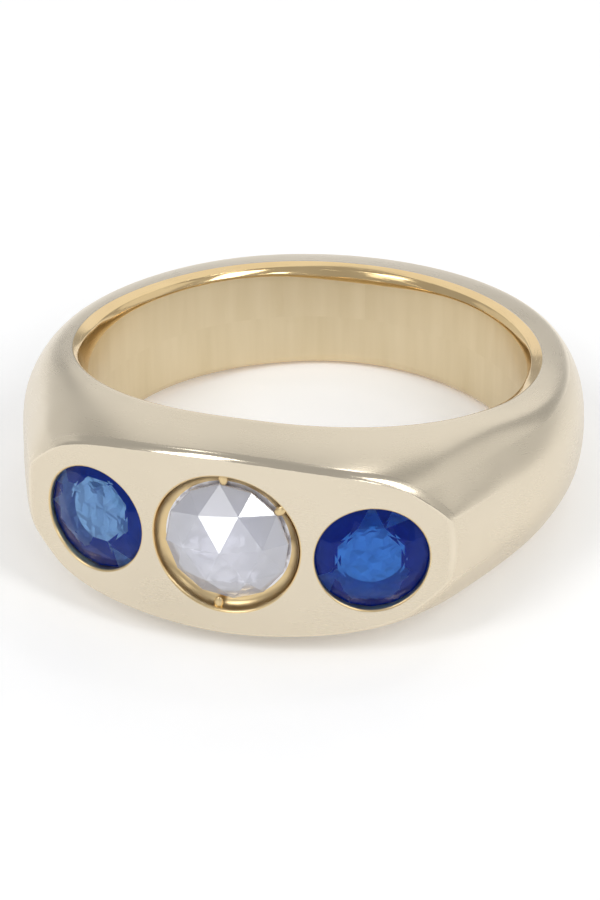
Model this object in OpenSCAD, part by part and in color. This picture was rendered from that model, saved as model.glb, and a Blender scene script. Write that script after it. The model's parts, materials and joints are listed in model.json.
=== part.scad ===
// A gold band ring, wide and flat at the head, with three stones set in a row.
// The ring lies on its side: its finger hole stands nearly upright, and the head faces -Y.
// The origin is the centre of the finger hole, and all sizes are in millimetres.

/* [Finger hole] */
// Radius of the finger hole
finger_r = 8.75; // [8:0.05:9.2]
// Width of the polished bevel round each edge of the finger hole, measured outwards
bevel_w = 0.6; // [0.3:0.05:0.7]

/* [Head] */
// Distance from the middle of the finger hole to the middle of the table
table_h = 11.65; // [11.5:0.05:12]
// Radius of the table's curve, which runs round the finger
table_r = 17.8; // [16:0.1:22]
// Fall of the flat side faces towards the outside, in mm for each mm
side_slope = 0.19; // [0.1:0.01:0.25]

/* [Sapphires] */
// Radius of a sapphire at its girdle
sapphire_r = 2.2; // [2:0.05:2.3]
// Place of the left sapphire on the table, to the right of its middle
left_x = -5.4; // [-5.6:0.05:-5.35]
// Place of the left sapphire on the table, above its middle
left_z = -0.05; // [-0.2:0.05:0.2]
// Place of the right sapphire on the table, to the right of its middle
right_x = 5.6; // [5.45:0.05:5.7]
// Place of the right sapphire on the table, above its middle
right_z = -0.2; // [-0.2:0.05:0.2]

/* [Diamond] */
// Radius of the diamond at its girdle
diamond_r = 2.42; // [2.2:0.02:2.44]
// Height of the diamond's point above its girdle
diamond_h = 1; // [0.8:0.05:1.3]
// Place of the diamond on the table, to the right of its middle
diamond_x = 0.1; // [0:0.05:0.15]
// Place of the diamond on the table, above its middle
diamond_z = 0.1; // [-0.1:0.05:0.2]
// Radius of the bright-cut opening round the diamond
bezel_r = 2.82; // [2.75:0.01:2.9]
// Radius of the small grains of metal raised in that opening
grain_r = 0.24; // [0.2:0.01:0.26]

/* [Detail] */
// Sections round the band
sections_round = 120; // [60:12:144]

/* [Hidden] */

gold = [0.84, 0.76, 0.61];
clear_white = [0.92, 0.93, 0.98];
royal_blue = [0.07, 0.12, 0.55];

// The band's cross-section, a row for each angle from the middle of the head.
// Columns: angle, half width at the bevel's edge, radius of the soft crease where the side face
// ends, radius and half width of the ridge beside the outside face, radius of the outside face
// at its middle, and depth of the bevel along the finger hole.
SECTIONS = [
    [0, 4.30, 13.20, 14.00, 1.90, 14.10, 1.05],
    [20, 4.12, 12.70, 13.70, 1.80, 13.80, 1.05],
    [40, 3.78, 11.50, 12.68, 1.60, 12.82, 1.05],
    [50, 3.58, 10.85, 11.88, 1.60, 12.08, 1.05],
    [60, 3.38, 10.50, 11.32, 1.62, 11.56, 1.05],
    [75, 3.05, 10.35, 11.03, 1.72, 11.33, 1.00],
    [95, 2.73, 10.20, 10.78, 1.82, 11.12, 0.65],
    [120, 2.45, 10.32, 10.70, 1.96, 11.06, 0.42],
    [150, 2.33, 10.62, 10.90, 1.90, 11.05, 0.38],
    [180, 2.28, 10.66, 10.92, 1.88, 11.05, 0.62]
];
ANGLE = 0;
RIM = 1;
CREASE = 2;
RIDGE = 3;
RIDGE_Z = 4;
OUTSIDE = 5;
BEVEL = 6;
LAST = len(SECTIONS) - 1;

// Share of each straight stretch that the rounding of the crease and of the ridge takes up
face_soft = 0.8;
crease_soft = 0.5;
ridge_soft = 0.42;
// Steps in each rounding
crease_steps = 4;
ridge_steps = 3;
outside_steps = 3;
// How far the bevel runs on into the finger hole, where the hole cuts it off
bevel_over = 0.5;
rim_r = finger_r + bevel_w;
// Height of the cylinders that cut the table and the finger hole
through = 30;

// The ring rests on the rims of its head and of its back, which are not equally wide
rest_tilt = atan((SECTIONS[0][RIM] - SECTIONS[LAST][RIM]) / (2 * rim_r));

// Parts of a brilliant: heights, and radii as shares of the stone's own radius
girdle_h = 0.1;
crown_h = 0.5;
pavilion_h = 1.75;
table_share = 0.58;
star_share = 0.8;
lower_share = 0.28;
// Parts of the rose cut: its inner ring of corners, its turn, and the slant under its girdle
rose_share = 0.656;
rose_rise = 0.6;
rose_turn = 6;
rose_foot = 0.1;

// A sapphire's table stands above the metal, and the diamond's girdle lies below it
sapphire_proud = 0.12;
diamond_sunk = 0.28;
// Gap between a stone and its seat, and how far the burnished metal laps over a sapphire
seat_gap = 0.04;
lap = 0.05;
// How far the shape that cuts a seat reaches above the table
cut_above = 2;
// Angles of the grains round the diamond, and their middle's distance from the wall and the table
GRAIN_ANGLES = [38, 92, 263];
grain_in = 0.16;
grain_sunk = 0.1;

// A column's value and angle in a row, with the rows carried on past 0 and 180 degrees
function row_angle(i) = i < 0 ? -SECTIONS[1][ANGLE]
    : i > LAST ? 360 - SECTIONS[LAST - 1][ANGLE]
    : SECTIONS[i][ANGLE];
function row_value(i, col) = SECTIONS[i < 0 ? 1 : i > LAST ? LAST - 1 : i][col];
function row_slope(i, col) = (row_value(i + 1, col) - row_value(i - 1, col))
    / (row_angle(i + 1) - row_angle(i - 1));
function row_below(g) = max([for (i = [0:LAST - 1]) if (g >= SECTIONS[i][ANGLE]) i]);

// A column's value at any angle g from 0 to 180, on a smooth cubic through the rows
function column(col, g) =
    let (i = row_below(g), w = row_angle(i + 1) - row_angle(i), t = (g - row_angle(i)) / w)
    (1 + 2 * t) * pow(1 - t, 2) * row_value(i, col)
    + t * pow(1 - t, 2) * w * row_slope(i, col)
    + t * t * (3 - 2 * t) * row_value(i + 1, col)
    + t * t * (t - 1) * w * row_slope(i + 1, col);

// A point on a straight line, and one on a curve with a control point q
function mix(p, q, t) = p + t * (q - p);
function bend(p, q, r, t) = mix(mix(p, q, t), mix(q, r, t), t);

// The upper half of the section at angle g, as [radius, height], from the inside outwards
function half_section(g) =
    let (
        rim = [rim_r, column(RIM, g)],
        crease = [column(CREASE, g), rim[1] - side_slope * (column(CREASE, g) - rim_r)],
        ridge = [column(RIDGE, g), column(RIDGE_Z, g)],
        crown = [column(OUTSIDE, g), ridge[1] / 2],
        inner = rim - (1 + bevel_over) * [bevel_w, column(BEVEL, g)],
        crease_in = mix(crease, rim, face_soft),
        crease_out = mix(crease, ridge, crease_soft),
        ridge_in = mix(ridge, crease, ridge_soft),
        ridge_out = mix(ridge, crown, ridge_soft)
    )
    concat(
        [inner, rim],
        [for (k = [0:crease_steps]) bend(crease_in, crease, crease_out, k / crease_steps)],
        [for (k = [0:ridge_steps]) bend(ridge_in, ridge, ridge_out, k / ridge_steps)],
        [for (k = [1:outside_steps - 1])
            bend(ridge_out, crown, [crown[0], 0], k / outside_steps)]
    );

// The whole section: the upper half, the middle of the outside, and the upper half turned over
function section(g) =
    let (upper = half_section(g), n = len(upper))
    concat(
        upper,
        [[column(OUTSIDE, g), 0]],
        [for (k = [n - 1:-1:0]) [upper[k][0], -upper[k][1]]]
    );

// Angle from the middle of the head, and the section there set in place round the finger
function turn(i) = 360 * i / sections_round;
function placed(i) =
    let (a = turn(i), g = a > 180 ? 360 - a : a)
    [for (p = section(g)) [p[0] * sin(a), -p[0] * cos(a), p[1]]];

// A ring of n corners at radius r and height z, the first one at angle first
function corners(n, r, z, first = 0) =
    [for (k = [0:n - 1]) [r * cos(first + 360 * k / n), r * sin(first + 360 * k / n), z]];

// Tilts the ring from upright finger hole to the way it rests
module at_rest() {
    rotate([-rest_tilt, 0, 0])
        children();
}

// Where a stone stands on the table: its own z runs outwards, and its own y runs up
module on_table(x, z) {
    translate([0, table_r - table_h, z])
        rotate([90, 0, asin(x / table_r)])
            translate([0, 0, table_r])
                children();
}

module at_diamond() {
    on_table(diamond_x, diamond_z)
        children();
}

module at_left_sapphire() {
    on_table(left_x, left_z)
        children();
}

module at_right_sapphire() {
    on_table(right_x, right_z)
        children();
}

// A round brilliant with its girdle's top at z = 0. Its kites are flat: the corners between them
// lie on the slopes from the table, or from the point, to the girdle.
module brilliant(r, crown, pavilion) {
    half_step = 22.5;
    table_corner = r * table_share;
    star_corner = r * star_share;
    star_z = crown * (r - star_corner * cos(half_step)) / (r - table_corner);
    lower_corner = r * lower_share;
    lower_z = -girdle_h - pavilion * (1 - lower_corner * cos(half_step) / r);
    points = concat(
        corners(8, table_corner, crown),
        corners(8, star_corner, star_z, half_step),
        corners(16, r, 0),
        corners(16, r, -girdle_h),
        corners(8, lower_corner, lower_z, half_step),
        [[0, 0, -girdle_h - pavilion]]
    );
    // Where each ring of corners starts in that list
    star = 8;
    top = 16;
    bottom = 32;
    lower = 48;
    point = 56;
    faces = concat(
        [[7, 6, 5, 4, 3, 2, 1, 0]],
        [for (k = [0:7])
            let (
                after = (k + 1) % 8,
                before = (k + 7) % 8,
                a = 2 * k,
                b = 2 * k + 1,
                c = (2 * k + 2) % 16
            )
            each [
                [k, after, star + k],
                [k, star + k, top + a, star + before],
                [star + k, top + b, top + a],
                [star + k, top + c, top + b],
                [top + a, top + b, bottom + b, bottom + a],
                [top + b, top + c, bottom + c, bottom + b],
                [lower + k, bottom + a, bottom + b],
                [lower + k, bottom + b, bottom + c],
                [point, lower + before, bottom + a, lower + k]
            ]
        ]
    );
    polyhedron(points, faces, convexity = 2);
}

// A rose cut on a flat base: six facets meet at its point, and eighteen run down to the girdle
module rose(r, height) {
    points = concat(
        [[0, 0, height]],
        corners(6, r * rose_share, height * rose_rise, rose_turn),
        corners(12, r, 0, rose_turn),
        corners(12, r, -girdle_h, rose_turn),
        corners(12, r - rose_foot, -girdle_h - rose_foot, rose_turn)
    );
    // Where each ring of corners starts in that list
    inner = 1;
    top = 7;
    bottom = 19;
    base = 31;
    faces = concat(
        [[for (k = [0:11]) base + k]],
        [for (k = [0:5])
            let (after = (k + 1) % 6, a = 2 * k, b = 2 * k + 1, c = (2 * k + 2) % 12)
            each [
                [0, inner + after, inner + k],
                [inner + k, inner + after, top + b],
                [inner + k, top + b, top + a],
                [inner + after, top + c, top + b]
            ]
        ],
        [for (k = [0:11])
            let (after = (k + 1) % 12)
            each [
                [top + k, top + after, bottom + after, bottom + k],
                [bottom + k, bottom + after, base + after, base + k]
            ]
        ]
    );
    polyhedron(points, faces, convexity = 2);
}

// The band before the table, the finger hole and the seats are cut
module band_blank() {
    rings = [for (i = [0:sections_round - 1]) placed(i)];
    n = len(rings[0]);
    points = [for (ring = rings) each ring];
    faces = [for (i = [0:sections_round - 1], j = [0:n - 1])
        let (
            a = i * n + j,
            b = i * n + (j + 1) % n,
            c = ((i + 1) % sections_round) * n + (j + 1) % n,
            d = ((i + 1) % sections_round) * n + j
        )
        each [[a, c, b], [a, d, c]]
    ];
    polyhedron(points, faces, convexity = 6);
}

// The space cut for a sapphire: an opening a little narrower than its girdle, and a seat that
// follows its girdle and its pavilion
module sapphire_seat() {
    girdle_z = sapphire_proud - crown_h;
    seat_r = sapphire_r + seat_gap;
    opening_r = sapphire_r - lap;
    lap_z = girdle_z + seat_gap + lap * crown_h / (sapphire_r * (1 - table_share));
    seat_z = girdle_z - girdle_h - seat_gap;
    rotate_extrude($fn = 96)
        polygon([
            [0, cut_above],
            [opening_r, cut_above],
            [opening_r, lap_z],
            [seat_r, girdle_z + seat_gap],
            [seat_r, seat_z],
            [0, seat_z - pavilion_h - seat_gap]
        ]);
}

// The space cut for the diamond: a bright-cut wall that curves in to a flat floor
module diamond_seat() {
    floor_r = diamond_r + seat_gap;
    floor_z = -diamond_sunk - girdle_h - rose_foot - seat_gap;
    knee = [mix(bezel_r, floor_r, 0.25), floor_z * 0.8];
    rotate_extrude($fn = 96)
        polygon([
            [0, cut_above],
            [bezel_r, cut_above],
            [bezel_r, floor_z / 2],
            knee,
            [floor_r, floor_z],
            [0, floor_z]
        ]);
}

module grains() {
    for (angle = GRAIN_ANGLES)
        rotate([0, 0, angle])
            translate([bezel_r - grain_in, 0, -grain_sunk])
                sphere(r = grain_r, $fn = 32);
}

// The gold: shank, shoulders and head in one casting, with its seats and grains
module band() {
    color(gold)
        at_rest()
            union() {
                difference() {
                    intersection() {
                        band_blank();
                        translate([0, table_r - table_h, 0])
                            cylinder(h = through, r = table_r, center = true, $fn = 240);
                    }
                    cylinder(h = through, r = finger_r, center = true, $fn = 180);
                    at_diamond()
                        diamond_seat();
                    at_left_sapphire()
                        sapphire_seat();
                    at_right_sapphire()
                        sapphire_seat();
                }
                at_diamond()
                    grains();
            }
}

module diamond() {
    color(clear_white)
        at_rest()
            at_diamond()
                translate([0, 0, -diamond_sunk])
                    rose(diamond_r, diamond_h);
}

module sapphire() {
    color(royal_blue)
        translate([0, 0, sapphire_proud - crown_h])
            brilliant(sapphire_r, crown_h, pavilion_h);
}

module sapphire_left() {
    at_rest()
        at_left_sapphire()
            sapphire();
}

module sapphire_right() {
    at_rest()
        at_right_sapphire()
            sapphire();
}

band();
diamond();
sapphire_left();
sapphire_right();
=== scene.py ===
import json
import math

import bpy
import numpy as np
from mathutils import Matrix, Vector


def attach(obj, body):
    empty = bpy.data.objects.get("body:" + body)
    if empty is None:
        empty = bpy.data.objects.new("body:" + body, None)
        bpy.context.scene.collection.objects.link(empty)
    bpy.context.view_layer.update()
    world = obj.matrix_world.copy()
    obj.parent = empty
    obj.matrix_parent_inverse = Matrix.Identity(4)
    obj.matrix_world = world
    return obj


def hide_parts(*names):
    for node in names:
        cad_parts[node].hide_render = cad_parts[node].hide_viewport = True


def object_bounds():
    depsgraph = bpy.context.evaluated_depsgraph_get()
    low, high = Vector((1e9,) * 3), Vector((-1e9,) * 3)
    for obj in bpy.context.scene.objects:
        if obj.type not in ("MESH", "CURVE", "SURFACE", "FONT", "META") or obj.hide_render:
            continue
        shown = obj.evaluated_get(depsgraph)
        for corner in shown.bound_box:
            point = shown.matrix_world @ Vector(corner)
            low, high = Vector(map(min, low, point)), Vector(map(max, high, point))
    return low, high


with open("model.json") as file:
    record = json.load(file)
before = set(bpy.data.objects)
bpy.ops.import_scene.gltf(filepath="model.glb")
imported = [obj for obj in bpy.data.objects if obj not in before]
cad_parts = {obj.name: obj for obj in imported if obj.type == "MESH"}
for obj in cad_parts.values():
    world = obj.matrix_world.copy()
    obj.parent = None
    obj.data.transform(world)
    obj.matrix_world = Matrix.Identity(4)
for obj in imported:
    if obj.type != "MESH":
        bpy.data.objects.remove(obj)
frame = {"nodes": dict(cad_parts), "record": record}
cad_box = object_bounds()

# The band
# One casting of pale 14 carat gold: a narrow shank that swells into a wide head. The goldsmith
# files the head's front to a gently curved table and the shoulders to soft facets, and leaves
# them satin. Only the bevel round each edge of the finger hole is polished bright.

# Sizes are in millimetres until a mesh is made, when MM turns them into metres, and angles are in
# degrees
MM = 0.001
hole = frame["record"]["mounts"][0]
hole_r = hole["dims"]["r_mm"]
lean = math.atan2(hole["axis"][1], hole["axis"][2])
resting = np.array(Matrix.Rotation(-lean, 3, "X"))
bevel_w = 0.6
rim_r = hole_r + bevel_w

# The table's distance from the hole's axis and the radius of its curve, and how far the side face
# falls in each millimetre outwards
table_h = 11.65
table_r = 17.8
side_slope = 0.19

# The share of a face that the rounding at its end takes up: the side face's at the crease, the
# sloping face's at the crease, and the sloping face's and the outside's at the ridge
face_soft = 0.8
crease_soft = 0.5
ridge_soft = 0.42

# Columns: angle from the head's middle, half width at the bevel's edge, radius of the crease that
# ends the side face, radius and half width of the ridge, radius of the outside, bevel's depth
SECTIONS = np.array([
    [0, 4.30, 13.20, 14.00, 1.90, 14.10, 1.05],
    [20, 4.12, 12.70, 13.70, 1.80, 13.80, 1.05],
    [40, 3.78, 11.50, 12.68, 1.60, 12.82, 1.05],
    [50, 3.58, 10.85, 11.88, 1.60, 12.08, 1.05],
    [60, 3.38, 10.50, 11.32, 1.62, 11.56, 1.05],
    [75, 3.05, 10.35, 11.03, 1.72, 11.33, 1.00],
    [95, 2.73, 10.20, 10.78, 1.82, 11.12, 0.65],
    [120, 2.45, 10.32, 10.70, 1.96, 11.06, 0.42],
    [150, 2.33, 10.62, 10.90, 1.90, 11.05, 0.38],
    [180, 2.28, 10.66, 10.92, 1.88, 11.05, 0.62],
])
RIM, CREASE, RIDGE, RIDGE_Z, OUTSIDE, BEVEL = range(1, 7)


def along(column, angle):
    """A column of SECTIONS at each angle: the cubic through the rows whose slope at a row is the
    slope between its two neighbours, the rows being mirrored at the head and at the back."""
    rows = np.vstack([SECTIONS[1], SECTIONS, SECTIONS[-2]])
    rows[0, 0] = -rows[0, 0]
    rows[-1, 0] = 360 - rows[-1, 0]
    slope = (rows[2:, column] - rows[:-2, column]) / (rows[2:, 0] - rows[:-2, 0])
    i = np.clip(np.searchsorted(SECTIONS[:, 0], angle, side="right") - 1, 0, len(SECTIONS) - 2)
    width = SECTIONS[i + 1, 0] - SECTIONS[i, 0]
    t = (angle - SECTIONS[i, 0]) / width
    return ((1 + 2 * t) * (1 - t) ** 2 * SECTIONS[i, column]
            + t * (1 - t) ** 2 * width * slope[i]
            + t ** 2 * (3 - 2 * t) * SECTIONS[i + 1, column]
            + t ** 2 * (t - 1) * width * slope[i + 1])


def mix(p, q, t):
    """The point that lies t of the way from p to q."""
    return p + t * (q - p)


def bend(p, q, r, steps):
    """A curve from p to r that sets out for q: at t it is the point t of the way between the
    points t of the way along p-q and along q-r. One row of points for each row of p, q and r."""
    t = np.linspace(0, 1, steps + 1)[None, :, None]
    p, q, r = p[:, None], q[:, None], r[:, None]
    return mix(mix(p, q, t), mix(q, r, t), t)


def straight(p, r, steps):
    """A straight line from p to r, in even steps."""
    return bend(p, mix(p, r, 0.5), r, steps)


def pairs(r, z):
    """Radius and height as one array of points."""
    return np.stack(np.broadcast_arrays(r, z), -1).astype(float)


def towards(p, q, distance):
    """The point that lies a distance from p on the way to q."""
    gap = q - p
    return p + gap * (distance / np.linalg.norm(gap, axis=-1, keepdims=True))


# Where the sections stand: evenly round the finger, and closer together where the table ends
even_step = 1.2
close_step = 0.3
close_middle = 39.5
close_reach = 7.0
turn = np.arange(-180, 180, close_step)
even = np.arange(len(turn)) % round(even_step / close_step) == 0
close = np.abs(np.abs(turn) - close_middle) < close_reach
turn = turn[even | close]
from_head = np.abs(turn)

# The corners of each section: the bevel's inner end, the rim, the crease, the ridge, the outside's
# middle, and the crown that the outside's curve sets out for
rim = pairs(rim_r, along(RIM, from_head))
bevel_in = pairs(hole_r, rim[:, 1] - along(BEVEL, from_head))
crease = pairs(along(CREASE, from_head), 0)
crease[:, 1] = rim[:, 1] - side_slope * (crease[:, 0] - rim_r)
ridge = pairs(along(RIDGE, from_head), along(RIDGE_Z, from_head))
outside = pairs(along(OUTSIDE, from_head), 0)
crown = pairs(outside[:, 0], ridge[:, 1] / 2)

# The bevel climbs from the hole's wall to a knee, turns over and ends at the rim. At the head it is
# nearly flat. Beside the finger and behind it the polishing wheel has rolled it, from roll_start on
# and in full from roll_full: there the climb is steep and the knee stands further in and lower.
roll_start = 55
roll_full = 90
rolled = np.clip((from_head - roll_start) / (roll_full - roll_start), 0, 1)[:, None]

# The corner that the climb sets out for and the knee, as shares of the bevel's width and height,
# and how far the rolling moves them. The turn sets out for a point past the knee, on the line from
# the one to the other.
climb_share = [0, 0.1]
climb_move = [0, 0.2]
knee_share = [0.75, 0.85]
knee_move = [-0.5, -0.10]
climb = mix(bevel_in, rim, climb_share + rolled * climb_move)
knee = mix(bevel_in, rim, knee_share + rolled * knee_move)
past_knee = 1.16 + 0.04 * rolled
bevel_turn = mix(climb, knee, past_knee)

# The wall of the finger hole, the climb, the turn and the rim's rounding, which reaches rim_edge
# from the rim on both sides
rim_edge = 0.04
wall_steps = 6
climb_steps = 8
turn_steps = 10
rim_steps = 4
hole_half = np.concatenate([
    bend(pairs(hole_r, 0 * from_head), bevel_in / [1, 2], bevel_in, wall_steps),
    bend(bevel_in, climb, knee, climb_steps)[:, 1:],
    bend(knee, bevel_turn, towards(rim, bevel_turn, rim_edge), turn_steps)[:, 1:],
    bend(towards(rim, bevel_turn, rim_edge), rim, towards(rim, crease, rim_edge), rim_steps)[:, 1:],
], 1)

# The side face, the crease, the sloping face, the ridge and the outside, as they are cast
cast_half = np.concatenate([
    straight(towards(rim, crease, rim_edge), mix(crease, rim, face_soft), steps=40),
    bend(mix(crease, rim, face_soft), crease, mix(crease, ridge, crease_soft), steps=240)[:, 1:],
    straight(mix(crease, ridge, crease_soft), mix(ridge, crease, ridge_soft), steps=20)[:, 1:],
    bend(mix(ridge, crease, ridge_soft), ridge, mix(ridge, crown, ridge_soft), steps=60)[:, 1:],
    bend(mix(ridge, crown, ridge_soft), crown, outside, steps=60)[:, 1:],
], 1)


def filed(path, angle, soft):
    """The paths with what lies beyond the table filed away: a radius r becomes the smaller of r
    and the table's radius at that angle, with the meeting of the two smoothed over soft."""
    a = np.radians(angle)
    behind = table_r - table_h
    limit = -behind * np.cos(a) + np.sqrt(table_r ** 2 - (behind * np.sin(a)) ** 2)
    over = (limit[:, None] - path[..., 0]) / soft
    return np.stack([limit[:, None] - soft * np.logaddexp(0, over), path[..., 1]], -1), limit


def lengths(path):
    """How far along its path each point lies."""
    step = np.linalg.norm(np.diff(path, axis=1), axis=-1)
    return np.pad(np.cumsum(step, 1), ((0, 0), (1, 0)))


def sample(path, place, wanted):
    """The points of each path at the wanted places, between the path's own points."""
    return np.stack([
        np.stack([np.interp(w, s, p[:, k]) for k in (0, 1)], -1)
        for p, s, w in zip(path, place, wanted)
    ])


def eased(path, limit, soft, reach):
    """The paths with the table's edge rounded. The corner is the last point that lies two and a
    half times soft inside the table. The stretch within reach of it, or within nine tenths of what
    is left of the path, is laid on the curve that sets out for the corner and ends on the table."""
    hair = 1e-6
    s = lengths(path)
    total = s[:, -1]
    inside = path[..., 0] < limit[:, None] - 2.5 * soft
    corner = np.max(np.where(inside, s, 0), 1)
    cut = corner < total - hair
    reach = np.where(cut, np.minimum(reach, 0.9 * (total - corner)), hair)
    ends = sample(path, s, np.stack([corner - reach, corner, np.minimum(corner + reach, total)], 1))
    t = np.clip((s - corner[:, None] + reach[:, None]) / (2 * reach[:, None]), 0, 1)[..., None]
    curve = mix(mix(ends[:, :1], ends[:, 1:2], t), mix(ends[:, 1:2], ends[:, 2:], t), t)
    return np.where((t > 0) & (t < 1) & cut[:, None, None], curve, path)


def spread(path, count, per_mm, per_degree):
    """The paths with count points each, at equal steps of length times per_mm plus turning times
    per_degree, so that tight curves get most of them."""
    step = np.diff(path, axis=1)
    heading = np.unwrap(np.arctan2(step[..., 1], step[..., 0]), axis=1)
    turning = np.degrees(np.abs(np.diff(heading, axis=1)))
    turning = np.pad(turning, ((0, 0), (1, 1)))
    cost = np.linalg.norm(step, axis=-1) * per_mm + (turning[:, 1:] + turning[:, :-1]) / 2 * per_degree
    place = np.pad(np.cumsum(cost, 1), ((0, 0), (1, 0)))
    wanted = np.linspace(0, 1, count)[None] * place[:, -1:]
    return sample(path, place, wanted)


# The table is filed over file_soft, and its edge is worn round within table_edge of the corner
file_soft = 0.035
table_edge = 0.22
outer_count = 68
outer_half, limit = filed(cast_half, turn, file_soft)
outer_half = eased(outer_half, limit, file_soft, table_edge)
outer_half = spread(outer_half, outer_count, per_mm=3.0, per_degree=0.2)
half = np.concatenate([hole_half[:, :-1], outer_half], 1)
loop = np.concatenate([half, half[:, -2:0:-1] * [1, -1]], 1)


def in_place(points):
    """Points of the upright ring turned about X to the lean at which it rests, in metres."""
    return points @ resting.T * MM


def round_finger(loop, angle):
    """The sections set round the finger: a radius points from -Y towards +X by the angle."""
    a = np.radians(angle)[:, None]
    return np.stack([loop[..., 0] * np.sin(a), -loop[..., 0] * np.cos(a), loop[..., 1]], -1)


def grid_faces(rows, columns):
    """Four corners for each cell of a grid that closes on itself both ways, row by row."""
    i, j = np.meshgrid(np.arange(rows), np.arange(columns), indexing="ij")
    i2, j2 = (i + 1) % rows, (j + 1) % columns
    corners = [i * columns + j, i * columns + j2, i2 * columns + j2, i2 * columns + j]
    return np.stack(corners, -1).reshape(-1, 4)


def new_piece(name, points, faces):
    """An object whose mesh has these points and faces, shaded smooth."""
    mesh = bpy.data.meshes.new(name)
    mesh.from_pydata(points.reshape(-1, 3).tolist(), [], [list(f) for f in faces])
    mesh.polygons.foreach_set("use_smooth", np.ones(len(mesh.polygons), bool))
    piece = bpy.data.objects.new(name, mesh)
    bpy.context.scene.collection.objects.link(piece)
    return piece


rows, columns = loop.shape[:2]
points = round_finger(loop, turn)
band = new_piece("gold_band", in_place(points), grid_faces(rows, columns))


def closed(values, way):
    """A grid's values with the first row (0) or the first of each row (1) once more at the end."""
    return np.concatenate([values, values.take([0], way)], way)


def add_map(piece, name, grid):
    """A map on the piece, from the places of a grid that is closed both ways. Each of its faces
    takes those of its four corners."""
    corners = np.stack([grid[:-1, :-1], grid[:-1, 1:], grid[1:, 1:], grid[1:, :-1]], 2)
    layer = piece.data.uv_layers.new(name=name)
    layer.data.foreach_set("uv", corners.astype(np.float32).ravel())


def span(values, way):
    """The step from the value before each one to the value after it, round the finger (0) or along
    the section (1)."""
    return np.roll(values, -1, way) - np.roll(values, 1, way)


# Two maps: millimetres round the finger and across the section, and how much an edge is worn,
# which goes by how many radians the surface turns in a millimetre
worn_from = 0.5
worn_full = 2.5
round_mm = np.radians(np.append(turn, turn[0] + 360))[:, None] * rim_r
across_mm = closed(lengths(closed(loop, 1)), 0)
add_map(band, "surface", np.stack(np.broadcast_arrays(round_mm, across_mm), -1))
square = np.cross(span(points, 0), span(points, 1))
square /= np.linalg.norm(square, axis=-1, keepdims=True)
bent = [np.linalg.norm(span(square, way), axis=-1) / np.linalg.norm(span(points, way), axis=-1)
        for way in (0, 1)]
worn = np.clip((np.maximum(*bent) - worn_from) / (worn_full - worn_from), 0, 1)
worn = closed(closed(worn, 1), 0)
add_map(band, "worn", np.stack([worn, 0 * worn], -1))

# Which finish each strip of faces has: the hole's wall, the bevel up to the middle of the rim's
# rounding, or the rest. On the underside the wall's finish runs on over the bevel's climb.
SATIN, INSIDE, POLISHED, CUT, FOILED = range(5)
strip = np.arange(columns)
wall_end = np.where(strip > columns / 2, wall_steps + climb_steps, wall_steps)
bevel_end = wall_steps + climb_steps + turn_steps + rim_steps / 2
strip = np.minimum(strip, columns - 1 - strip)
finish = np.where(strip < wall_end, INSIDE, np.where(strip < bevel_end, POLISHED, SATIN))
band.data.polygons.foreach_set("material_index", np.tile(finish, rows).astype(np.int32))


def wired(tree, kind, settings, inputs):
    """A shader node with its settings, and with each input set to a value or joined to an output."""
    made = tree.nodes.new("ShaderNode" + kind)
    for key, value in settings.items():
        setattr(made, key, value)
    for key, value in inputs.items():
        if isinstance(value, bpy.types.NodeSocket):
            tree.links.new(value, made.inputs[key])
        else:
            made.inputs[key].default_value = value
    return made


def total(tree, base, *parts):
    """The base plus a share of each value: base + share x value for each part in turn."""
    for share, value in parts:
        terms = {0: value, 1: share, 2: base}
        base = wired(tree, "Math", {"operation": "MULTIPLY_ADD"}, terms).outputs[0]
    return base


def blended(tree, share, first, second):
    """The colour that lies a share of the way from the first to the second."""
    ends = {"Factor": share, "A": first, "B": second}
    return wired(tree, "Mix", {"data_type": "RGBA"}, ends).outputs["Result"]


def object_mm(tree):
    """Where a point of the piece lies, in millimetres."""
    place = wired(tree, "TexCoord", {}, {}).outputs["Object"]
    return wired(tree, "VectorMath", {"operation": "SCALE"}, {0: place, "Scale": 1 / MM}).outputs[0]


def first_of(tree, vector):
    """The first of a vector's three numbers."""
    return wired(tree, "SeparateXYZ", {}, {0: vector}).outputs["X"]


def surface_mm(tree, turned, long, wide):
    """Where a point lies on the band's surface map, turned by an angle and measured in steps long
    one way and wide the other."""
    place = wired(tree, "UVMap", {"uv_map": "surface"}, {}).outputs[0]
    sizes = {"Vector": place, "Rotation": (0, 0, math.radians(turned)), "Scale": (long, wide, 1)}
    return wired(tree, "Mapping", {"vector_type": "TEXTURE"}, sizes).outputs[0]


def patches(tree, place, size, detail, dimensions="3D"):
    """Soft patches of a size, from 0 to 1 and mostly near a half."""
    kind = {"noise_dimensions": dimensions}
    return wired(tree, "TexNoise", kind, {"Vector": place, "Scale": 1 / size, "Detail": detail}).outputs[0]


def streaks(tree, turned, long, wide, detail):
    """Patches stretched to a length and a width on the band's surface, at an angle."""
    return patches(tree, surface_mm(tree, turned, long, wide), 1, detail, "2D")


def above(tree, value, level, soft):
    """0 where the value lies below a level, rising to 1 over soft."""
    ends = {"Value": value, "From Min": level, "From Max": level + soft}
    return wired(tree, "MapRange", {}, ends).outputs[0]


def hairlines(tree, turned, long, wide, level):
    """Thin straight scratches at an angle: what lies above a level in streaks. The higher the
    level, the fewer there are."""
    return above(tree, streaks(tree, turned, long, wide, detail=0.0), level, soft=0.05)


def new_finish(name, metallic=1):
    """A new material, its node tree and its shader: a metal, unless metallic is 0."""
    material = bpy.data.materials.new(name)
    material.use_nodes = True
    shader = material.node_tree.nodes["Principled BSDF"]
    shader.inputs["Metallic"].default_value = metallic
    return material, material.node_tree, shader


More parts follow.
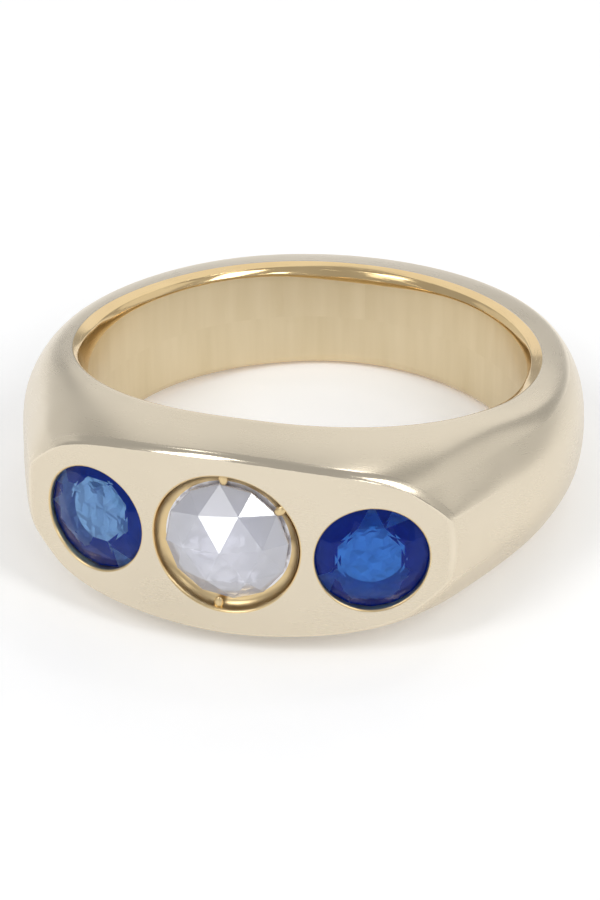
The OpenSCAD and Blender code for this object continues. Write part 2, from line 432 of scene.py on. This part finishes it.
def finished(tree, shader, colours, tint, roughness, relief, depth_mm):
    """Joins a finish's colour, between two colours by tint, its roughness and its relief, which is
    1 at a height of depth_mm, to its shader."""
    tree.links.new(blended(tree, tint, *colours), shader.inputs["Base Color"])
    tree.links.new(roughness, shader.inputs["Roughness"])
    bump = wired(tree, "Bump", {}, {"Height": relief, "Distance": depth_mm * MM, "Strength": 1.0})
    tree.links.new(bump.outputs[0], shader.inputs["Normal"])


def satin_gold():
    """Pale gold rubbed with fine abrasive round the finger: a fine grain that runs round, soft
    cloudy patches, a few hairlines, and smoother metal along the worn edges."""
    material, tree, shader = new_finish("satin_gold")
    cloud = patches(tree, object_mm(tree), size=2.4, detail=3.0)
    grain = streaks(tree, turned=0, long=0.9, wide=0.06, detail=2.0)
    lines = hairlines(tree, turned=8, long=3.4, wide=0.05, level=0.86)
    more_lines = hairlines(tree, turned=64, long=2.2, wide=0.05, level=0.88)
    other_lines = hairlines(tree, turned=-37, long=2.6, wide=0.05, level=0.88)
    lines = total(tree, lines, (1, more_lines), (1, other_lines))
    worn = first_of(tree, wired(tree, "UVMap", {"uv_map": "worn"}, {}).outputs[0])
    roughness = total(tree, 0.22, (0.08, cloud), (0.05, grain), (0.06, lines), (-0.17, worn))
    relief = total(tree, grain, (-0.8, lines), (8.0, cloud))
    tint = total(tree, patches(tree, object_mm(tree), size=5.0, detail=4.0), (0.9, worn))
    colours = [(0.685, 0.60, 0.46, 1), (0.79, 0.70, 0.55, 1)]
    finished(tree, shader, colours, tint, roughness, relief, depth_mm=0.0006)
    return material


def inside_gold():
    """The finger hole's wall, buffed along its axis and smoothed by the finger: soft upright
    streaks, fine hairlines round it and a few upright ones."""
    material, tree, shader = new_finish("inside_gold")
    streak = streaks(tree, turned=0, long=0.9, wide=9.0, detail=3.0)
    cloud = patches(tree, object_mm(tree), size=1.8, detail=3.0)
    lines = hairlines(tree, turned=3, long=3.0, wide=0.05, level=0.85)
    upright_lines = hairlines(tree, turned=86, long=2.4, wide=0.06, level=0.85)
    lines = total(tree, lines, (1, upright_lines))
    roughness = total(tree, 0.26, (0.12, cloud), (0.10, lines))
    relief = total(tree, lines, (14.0, streak), (5.0, cloud))
    colours = [(0.67, 0.555, 0.355, 1), (0.79, 0.675, 0.475, 1)]
    finished(tree, shader, colours, streak, roughness, relief, depth_mm=0.0009)
    return material


def polished_gold():
    """The bevels of the finger hole, buffed bright, with slight waves from the buff and fine
    hairlines that run with it. Its gold is deeper than the rest, partly painted reflection: it also
    stands for the ring's own gold mirrored in the bevel."""
    material, tree, shader = new_finish("polished_gold")
    wave = patches(tree, object_mm(tree), size=1.5, detail=1.0)
    lines = hairlines(tree, turned=2, long=2.0, wide=0.04, level=0.76)
    roughness = total(tree, 0.08, (0.10, wave), (0.08, lines))
    relief = total(tree, lines, (14.0, wave))
    # Deeper gold: partly the buffed finish, partly a painted reflection of the ring's own gold
    colours = [(0.73, 0.53, 0.27, 1), (0.85, 0.645, 0.35, 1)]
    finished(tree, shader, colours, wave, roughness, relief, depth_mm=0.0012)
    return material


# The seats
# Openings drilled and bright-cut into the gold table after casting, with thin foil laid on their
# floors. Their rims are burnished down, which leaves a thin bright line. The diamond's is wider
# than the stone, with small grains of metal pushed over its edge.

# Where the middle of each stone stands, to the right of the table's own middle and above it
STONES = {
    "sapphire_left": [-5.4, -0.05],
    "diamond": [0.1, 0.1],
    "sapphire_right": [5.6, -0.2],
}


def on_table(points, stone):
    """Points given from a stone's own middle on the table, as right, up and outwards, set in the
    ring: they are turned about the table's axis by the angle whose sine is the stone's place over
    the table's radius."""
    x, z = STONES[stone]
    a = math.asin(x / table_r)
    right = np.array([math.cos(a), math.sin(a), 0])
    out = np.array([math.sin(a), -math.cos(a), 0])
    middle = np.array([0, table_r - table_h, z]) + table_r * out
    return middle + points[..., :1] * right + points[..., 1:2] * [0, 0, 1] + points[..., 2:] * out


def lathe_faces(around, count):
    """Faces round a turned profile of count points, which runs downwards, with one face across
    each of its two open ends."""
    i, j = np.meshgrid(np.arange(around), np.arange(count - 1), indexing="ij")
    i2 = (i + 1) % around
    corners = [i * count + j, i * count + j + 1, i2 * count + j + 1, i2 * count + j]
    ends = [np.arange(around) * count, np.arange(around)[::-1] * count + count - 1]
    return np.stack(corners, -1).reshape(-1, 4).tolist() + [e.tolist() for e in ends]


def turned_profile(name, stone, profile, around=144):
    """A closed solid of revolution for cutting. The profile's columns are radius, height, the
    share of the table's fall at that radius which is added to the height, so that a rim with a
    share of 1 follows the curved table exactly, and the finish of the strip that starts there."""
    a = np.arange(around)[:, None] * (2 * math.pi / around)
    radius, height, follow, strips = np.array(profile, float).T
    x = radius * np.cos(a)
    fall = np.sqrt(table_r ** 2 - x ** 2) - table_r
    points = np.stack(np.broadcast_arrays(x, radius * np.sin(a), height + follow * fall), -1)
    cutter = new_piece(name, in_place(on_table(points, stone)), lathe_faces(around, len(profile)))
    finish = np.append(np.tile(strips[:-1], around), [CUT, strips[-1]])
    cutter.data.polygons.foreach_set("material_index", finish.astype(np.int32))
    return cutter


def arc(start, end, steps):
    """A quarter of an ellipse from start to end, as radius and height, that leaves start level
    with the axis and reaches end square to it."""
    t = np.linspace(0, math.pi / 2, steps + 1)
    radius = end[0] + (start[0] - end[0]) * np.cos(t)
    height = start[1] + (end[1] - start[1]) * np.sin(t)
    return [[r, h, 0, CUT] for r, h in zip(radius, height)]


# A cutter starts well above the table, with a flat face of cutter_core closing each end, and leaves
# seat_gap round its stone. Heights are from the table at the stone's middle.
cutter_top = 1.0
cutter_core = 0.5
seat_gap = 0.04

# A sapphire is held by the metal that stands over its girdle, a shoulder above it. From the girdle
# the seat's wall runs straight down by seat_wall, and then slopes in to a flat floor behind the
# stone's back.
sapphire_r = 2.2
sapphire_girdle = -0.38
sapphire_deep = 1.05
shoulder = 0.067
seat_wall = 0.2
sapphire_floor_r = 1.3
sapphire_floor = sapphire_girdle - sapphire_deep - seat_gap
opening_r = sapphire_r - 0.05
lip = 0.06

# Columns: radius, height, share of the table's fall, and the finish of the strip that starts there
SAPPHIRE_SEAT = [
    [cutter_core, cutter_top, 0, CUT],
    [opening_r + 0.45, cutter_top, 0, CUT],
    [opening_r + 3 * lip, 1.6 * lip, 1, CUT],
    [opening_r + 1.3 * lip, 0, 1, CUT],
    [opening_r + 0.6 * lip, -0.3 * lip, 1, CUT],
    [opening_r + 0.15 * lip, -0.9 * lip, 1, CUT],
    [opening_r, -1.8 * lip, 1, CUT],
    [opening_r, sapphire_girdle + shoulder, 0, CUT],
    [sapphire_r + seat_gap, sapphire_girdle + seat_gap, 0, CUT],
    [sapphire_r + seat_gap, sapphire_girdle - seat_wall, 0, FOILED],
    [sapphire_floor_r, sapphire_floor, 0, FOILED],
    [cutter_core, sapphire_floor, 0, FOILED],
]

# The diamond lies in a wider opening. Its wall is straight to bezel_floor and then curves in to the
# stone's girdle. The columns are the same.
diamond_r = 2.42
diamond_floor = -0.52
bezel_r = 2.82
bezel_floor = -0.2
DIAMOND_SEAT = [
    [cutter_core, cutter_top, 0, CUT],
    [bezel_r + 0.6, cutter_top, 0, CUT],
    [bezel_r + 0.3, 0.16, 1, CUT],
    [bezel_r + 0.11, 0, 1, CUT],
    [bezel_r + 0.06, -0.02, 1, CUT],
    [bezel_r + 0.02, -0.07, 1, CUT],
    [bezel_r + 0.005, -0.13, 1, CUT],
] + arc([bezel_r, bezel_floor], [diamond_r + seat_gap, diamond_floor], steps=8)[:-1] + [
    [diamond_r + seat_gap, diamond_floor, 0, FOILED],
    [cutter_core, diamond_floor, 0, FOILED],
]

# The grains: their angles round the diamond, counted from its right side upwards, their half sizes
# across the wall, along it and outwards, and the radius and height at which their middles stand
GRAIN_ANGLES = [38, 92, 263]
GRAIN = [0.26, 0.18, 0.10]
grain_r = 2.68
grain_z = -0.23


def grain(name, angle, around=24, down=12):
    """A bead: a sphere stretched by the three of GRAIN and set at its angle."""
    a = np.arange(around)[:, None] * (2 * math.pi / around)
    b = np.linspace(math.pi / 2, -math.pi / 2, down + 2)[1:-1]
    ball = np.stack([np.cos(b) * np.cos(a), np.cos(b) * np.sin(a), np.sin(b) + 0 * a], -1) * GRAIN
    c, s = math.cos(math.radians(angle)), math.sin(math.radians(angle))
    x = (ball[..., 0] + grain_r) * c - ball[..., 1] * s
    y = (ball[..., 0] + grain_r) * s + ball[..., 1] * c
    points = np.stack([x, y, ball[..., 2] + grain_z], -1)
    bead = new_piece(name, in_place(on_table(points, "diamond")), lathe_faces(around, down))
    bead.data.polygons.foreach_set("material_index", np.full(len(bead.data.polygons), CUT, np.int32))
    return bead


def joined(piece, others, operation):
    """Cuts the others out of the piece, or fuses them to it, keeps their finish on the new faces,
    and takes the others away."""
    for other in others:
        step = piece.modifiers.new(other.name, "BOOLEAN")
        step.operation = operation
        step.solver = "MANIFOLD"
        step.object = other
    done = piece.evaluated_get(bpy.context.evaluated_depsgraph_get())
    mesh = bpy.data.meshes.new_from_object(done)
    piece.modifiers.clear()
    piece.data = mesh
    for other in others:
        bpy.data.objects.remove(other)


def cut_gold():
    """The walls and rims of the seats, cut bright with a graver, with faint chatter."""
    material, tree, shader = new_finish("cut_gold")
    chatter = patches(tree, object_mm(tree), size=0.16, detail=1.0)
    cloud = patches(tree, object_mm(tree), size=0.9, detail=2.0)
    roughness = total(tree, 0.24, (0.16, cloud))
    relief = total(tree, chatter, (3.0, cloud))
    colours = [(0.66, 0.48, 0.24, 1), (0.80, 0.63, 0.36, 1)]
    finished(tree, shader, colours, cloud, roughness, relief, depth_mm=0.0016)
    return material


def foil(name, dull, colours):
    """Thin bright metal under a stone in a closed seat, slightly creased. The duller it is, the
    rougher."""
    material, tree, shader = new_finish(name)
    cells = {"Vector": object_mm(tree), "Scale": 1.6}
    crease = wired(tree, "TexVoronoi", {"distance": "CHEBYCHEV"}, cells).outputs["Distance"]
    roughness = total(tree, dull, (0.2, crease))
    finished(tree, shader, colours, crease, roughness, crease, depth_mm=0.12)
    return material


silver_foil = foil("silver_foil", 0.4, [(0.86, 0.86, 0.92, 1), (0.97, 0.97, 1.0, 1)])
for metal in [satin_gold(), inside_gold(), polished_gold(), cut_gold(), silver_foil]:
    band.data.materials.append(metal)
joined(band, [
    turned_profile("cut_left", "sapphire_left", SAPPHIRE_SEAT),
    turned_profile("cut_right", "sapphire_right", SAPPHIRE_SEAT),
    turned_profile("cut_diamond", "diamond", DIAMOND_SEAT),
], "DIFFERENCE")
joined(band, [grain(f"grain_{k}", a) for k, a in enumerate(GRAIN_ANGLES)], "UNION")

# A crease sharper than this is left sharp, and softer ones are shaded smooth
sharp_from = 32
band.data.set_sharp_from_angle(angle=math.radians(sharp_from))

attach(band, "root")
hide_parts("band")

# The diamond
# A rose cut: six facets meet at its point, eighteen run down to the girdle, and its base is flat.
# It is clear with a faint cool cast, and its facets carry the finest polishing lines. Its base lies
# on foil that is brighter than the seats' own, as in old closed settings.


def new_gem(name, ior, colour, density, clearness=1):
    """A clear stone that takes up light as it passes: a share 1 - colour of each millimetre's
    light, times density. What isn't clear in it is milky."""
    material, tree, shader = new_finish(name, metallic=0)
    shader.inputs["Transmission Weight"].default_value = clearness
    shader.inputs["IOR"].default_value = ior
    depth = wired(tree, "VolumeAbsorption", {}, {"Color": colour, "Density": density / MM})
    tree.links.new(depth.outputs[0], tree.nodes["Material Output"].inputs["Volume"])
    return material, tree, shader


def clouded(tree, shader, cloud, colours, rough):
    """Joins a stone's faint clouds to its shader: its tint goes from one colour to the other by
    them, and its roughness from 0 to rough."""
    tree.links.new(blended(tree, cloud, *colours), shader.inputs["Base Color"])
    tree.links.new(total(tree, 0.0, (rough, cloud)), shader.inputs["Roughness"])


def diamond_clear():
    """Clear stone, milky with age, with faint clouds in its tint and polishing lines too fine to
    see singly."""
    stone = new_gem("diamond_clear", ior=2.42, colour=(0.93, 0.93, 1.0, 1), density=0.3, clearness=0.56)
    material, tree, shader = stone
    cloud = patches(tree, object_mm(tree), size=1.1, detail=2.0)
    clouded(tree, shader, cloud, [(0.86, 0.87, 1, 1), (0.95, 0.95, 1, 1)], rough=0.03)
    return material


# The base is found by the way that it faces: straight inwards, where the cosine is above aligned
aligned = 0.99
diamond = frame["nodes"]["diamond"]
inwards = in_place(on_table(np.array([[0, 0, -1.0], [0, 0, 0]]), "diamond"))
inwards = (inwards[0] - inwards[1]) / MM
facing = np.empty(len(diamond.data.polygons) * 3, np.float32)
diamond.data.polygons.foreach_get("normal", facing)
base = facing.reshape(-1, 3) @ inwards > aligned
diamond.data.materials.clear()
bright_foil = foil("bright_foil", 0.16, [(0.84, 0.84, 0.90, 1), (1.0, 1.0, 1.0, 1)])
for material in (diamond_clear(), bright_foil):
    diamond.data.materials.append(material)
diamond.data.polygons.foreach_set("material_index", base.astype(np.int32))

# The sapphires
# Royal blue, in round mixed cuts with an eight-sided table, a scalloped crown and a broad flat
# back, held under the rims of their seats. The foil shows through their middles as a paler window.
# Their girdles and sides get painted shade, a dull dark blue that stands for the shaded seat they
# look into and gives them a dark border.
girdle_h = 0.1
crown_h = 0.32

# Where the corners of the table, the stars and the back stand, as shares of the stone's radius
table_share = 0.58
star_share = 0.8
back_share = 0.56

# What a facet shows: the stone alone, painted shade that stands for the shaded seat behind it, or
# foil behind it; and how many facets the crown, with its table, stars, main facets and halves, the
# girdle and the sides have
CLEAR, SHADE_PAINTED, BACKED = range(3)
crown_facets = 1 + 8 + 8 + 16
girdle_facets = 16
side_facets = 24


def ring_of(count, radius, height, turned=0):
    """Corners of a ring at a height, the first at the angle turned."""
    a = np.radians(turned) + np.arange(count) * (2 * math.pi / count)
    return np.stack([radius * np.cos(a), radius * np.sin(a), np.full(count, height)], -1)


def sapphire(name, stone, shift, bright):
    """The stone's corners and facets, ring by ring from the table down. A star corner stands so
    high that the four corners of each main facet lie in one plane. The back lies a shift, right and
    up, off the middle. The crown is clear. The girdle and the sides get painted shade, a dark blue
    that stands for the shade of the seat, except the bright ones of the sides, which have foil
    behind them as the flat back has."""
    half_step = 22.5
    table_corner = sapphire_r * table_share
    star_corner = sapphire_r * star_share
    star_in = sapphire_r - star_corner * math.cos(math.radians(half_step))
    star_z = crown_h * star_in / (sapphire_r - table_corner)
    back_corner = sapphire_r * back_share
    points = np.concatenate([
        ring_of(8, table_corner, crown_h),
        ring_of(8, star_corner, star_z, half_step),
        ring_of(16, sapphire_r, 0),
        ring_of(16, sapphire_r, -girdle_h),
        ring_of(8, back_corner, -sapphire_deep, half_step) + [*shift, 0],
    ])
    k = np.arange(8)
    after, before = (k + 1) % 8, (k + 7) % 8
    table, star, top, bottom, back = 0, 8, 16, 32, 48
    a, b, c = 2 * k, 2 * k + 1, (2 * k + 2) % 16
    facets = [table + k[None]]
    facets += [np.stack([table + k, star + k, table + after], -1)]
    facets += [np.stack([table + k, star + before, top + a, star + k], -1)]
    facets += [np.stack([star + k, top + a, top + b], -1), np.stack([star + k, top + b, top + c], -1)]
    facets += [np.stack([top + a, bottom + a, bottom + b, top + b], -1)]
    facets += [np.stack([top + b, bottom + b, bottom + c, top + c], -1)]
    facets += [np.stack([back + k, bottom + b, bottom + a], -1)]
    facets += [np.stack([back + k, bottom + c, bottom + b], -1)]
    facets += [np.stack([back + before, back + k, bottom + a], -1)]
    facets += [back + k[None, ::-1]]
    lift = [0, 0, sapphire_girdle]
    gem = new_piece(name, in_place(on_table(points + lift, stone)), [f for group in facets for f in group])
    gem.data.polygons.foreach_set("use_smooth", np.zeros(len(gem.data.polygons), bool))
    # The girdle and side facets take painted shade, a dark blue finish that stands for the seat's shade
    behind = np.repeat([CLEAR, SHADE_PAINTED, BACKED], [crown_facets, girdle_facets + side_facets, 1])
    behind[crown_facets + girdle_facets + np.array(bright)] = BACKED
    gem.data.polygons.foreach_set("material_index", behind.astype(np.int32))
    return gem


def sapphire_blue(side, density):
    """Royal blue stone with faint zones of growth, paler and deeper. Its gloss is blue as well, so
    that no grey veil lies on it."""
    name = f"sapphire_blue_{side}"
    material, tree, shader = new_gem(name, ior=1.77, colour=(0.16, 0.62, 0.96, 1), density=density)
    shader.inputs["Specular Tint"].default_value = (0.20, 0.30, 0.85, 1)
    zones = patches(tree, object_mm(tree), size=0.7, detail=2.0)
    clouded(tree, shader, zones, [(0.84, 0.90, 1, 1), (1, 1, 1, 1)], rough=0.04)
    return material


def painted_seat_shade():
    """Painted shade for the stone's own girdle and side facets: a dull, uneven dark blue without any
    gloss of its own, which stands for the shaded sides of the closed seat seen from within the stone."""
    material, tree, shader = new_finish("painted_seat_shade", metallic=0)
    shader.inputs["Specular IOR Level"].default_value = 0
    uneven = patches(tree, object_mm(tree), size=0.6, detail=2.0)
    roughness = total(tree, 0.3, (0.2, uneven))
    # Dark blues that paint the seat's shade
    colours = [(0.01, 0.04, 0.30, 1), (0.03, 0.11, 0.66, 1)]
    finished(tree, shader, colours, uneven, roughness, uneven, depth_mm=0.02)
    return material


# Each stone's depth of colour, how far its back lies off its middle, and its bright side facets
# Painted shade: a dark blue on the stones' girdles and sides that stands for the seat's shade
painted_shade_finish = painted_seat_shade()
for side, density, shift, bright in [
    ("left", 0.5, [-0.3, -0.1], [3, 14, 20]),
    ("right", 1.15, [0.0, -0.35], [1, 12, 18]),
]:
    gem = sapphire(f"blue_{side}", f"sapphire_{side}", shift, bright)
    for material in (sapphire_blue(side, density), painted_shade_finish, silver_foil):
        gem.data.materials.append(material)
    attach(gem, "root")
    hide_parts(f"sapphire_{side}")

# The ground
# A plain sheet of white paper, a metre square, on which the ring rests. It is wide enough to fill
# every view.
paper_half = 0.5
sheet = np.array([[-1, -1], [1, -1], [1, 1], [-1, 1]]) * paper_half
sheet = np.column_stack([sheet, np.full(4, cad_box[0][2])])
ground = new_piece("ground", sheet, [[0, 1, 2, 3]])


def white_paper():
    """Matt white with the faintest fibre, and a faint glow of its own as on a light table. Far out
    on the right, from 40 mm to 80 mm, it is painted greyer: painted shade where the light falls off."""
    material, tree, shader = new_finish("white_paper", metallic=0)
    shader.inputs["Roughness"].default_value = 1
    shader.inputs["Specular IOR Level"].default_value = 0
    shader.inputs["Emission Color"].default_value = (1, 1, 1, 1)
    shader.inputs["Emission Strength"].default_value = 0.15
    fibre = patches(tree, object_mm(tree), size=3.0, detail=4.0)
    white = blended(tree, fibre, (0.955, 0.955, 0.955, 1), (0.985, 0.985, 0.985, 1))
    # Painted shade: greyer far out on the right, where the light falls off
    right = above(tree, first_of(tree, object_mm(tree)), level=40, soft=40)
    tree.links.new(blended(tree, right, white, (0.66, 0.66, 0.66, 1)), shader.inputs["Base Color"])
    return material


ground.data.materials.append(white_paper())

# The studio light
# An even pale room and ten soft boxes: bright ones in front on the left and right, small ones high
# up and low down that give the facets and edges their sparks, and dim ones round the other sides.
room = bpy.data.worlds.new("studio")
room.use_nodes = True
room.node_tree.nodes["Background"].inputs["Color"].default_value = (0.97, 0.98, 1, 1)
room.node_tree.nodes["Background"].inputs["Strength"].default_value = 0.47
bpy.context.scene.world = room

# Columns: name, azimuth from +Y towards +X and height in degrees, as seen from the ring, distance
# and size in metres, and how bright it looks
SOFT_BOXES = [
    ["box_left", -142, 51, 0.45, (0.13, 0.22), 4.6],
    ["box_right", 113, 42, 0.45, (0.12, 0.26), 5.0],
    ["box_high_left", -54, 63, 0.45, (0.045, 0.045), 4.0],
    ["box_high_right", 20, 62, 0.45, (0.045, 0.045), 8.0],
    ["box_behind", -4, 32, 0.50, (0.54, 0.36), 0.56],
    ["box_side", 65, 25, 0.45, (0.30, 0.32), 0.38],
    ["box_far_left", -66, 14, 0.45, (0.42, 0.24), 0.26],
    ["box_dim_left", -150, 34, 0.45, (0.16, 0.10), 1.3],
    ["box_small_right", 144, 31, 0.45, (0.06, 0.06), 6.0],
    ["box_low", -162, 9, 0.45, (0.07, 0.07), 4.0],
]


def soft_box(name, azimuth, height, distance, size, brightness):
    """A lamp that faces the ring. A brightness of 1 makes it look as white as a lit sheet of paper:
    the power is brightness times pi times its area."""
    light = bpy.data.lights.new(name, "AREA")
    light.shape = "RECTANGLE"
    light.size, light.size_y = size
    light.energy = brightness * math.pi * size[0] * size[1]
    lamp = bpy.data.objects.new(name, light)
    bpy.context.scene.collection.objects.link(lamp)
    a, e = math.radians(azimuth), math.radians(height)
    lamp.location = distance * Vector((math.sin(a) * math.cos(e), math.cos(a) * math.cos(e), math.sin(e)))
    lamp.rotation_euler = (-lamp.location).to_track_quat("-Z", "Y").to_euler()


for box in SOFT_BOXES:
    soft_box(*box)

# The camera
# It looks at the ring as the photograph does, from in front, a little to the right and above. Its
# angles are those of the upright ring, and it leans with the ring. Its distance is in metres.
view_turn = math.radians(16.0)
view_height = math.radians(27.18)
view_distance = 0.150

# The photograph's size, its scale at the ring, and where the hole's middle stands in it, in pixels
photo_px = (600, 900)
pixels_per_mm = 24.876
middle_px = (307.6, 410.8)
level = math.cos(view_height)
sight = np.array([math.sin(view_turn) * level, -math.cos(view_turn) * level, math.sin(view_height)])
across = np.array([math.cos(view_turn), math.sin(view_turn), 0])
upwards = np.cross(sight, across)
camera = bpy.data.objects.new("camera", bpy.data.cameras.new("camera"))
bpy.context.scene.collection.objects.link(camera)
place = Matrix((resting @ np.stack([across, upwards, sight], 1)).tolist()).to_4x4()
place.translation = resting @ sight * view_distance
camera.matrix_world = place
lens = camera.data
lens.clip_start = 0.01
lens.lens = pixels_per_mm * view_distance / MM / max(photo_px) * lens.sensor_width
lens.shift_x = (photo_px[0] / 2 - middle_px[0]) / max(photo_px)
lens.shift_y = (middle_px[1] - photo_px[1] / 2) / max(photo_px)
bpy.context.scene.camera = camera
bpy.context.scene.view_settings.view_transform = "Standard"
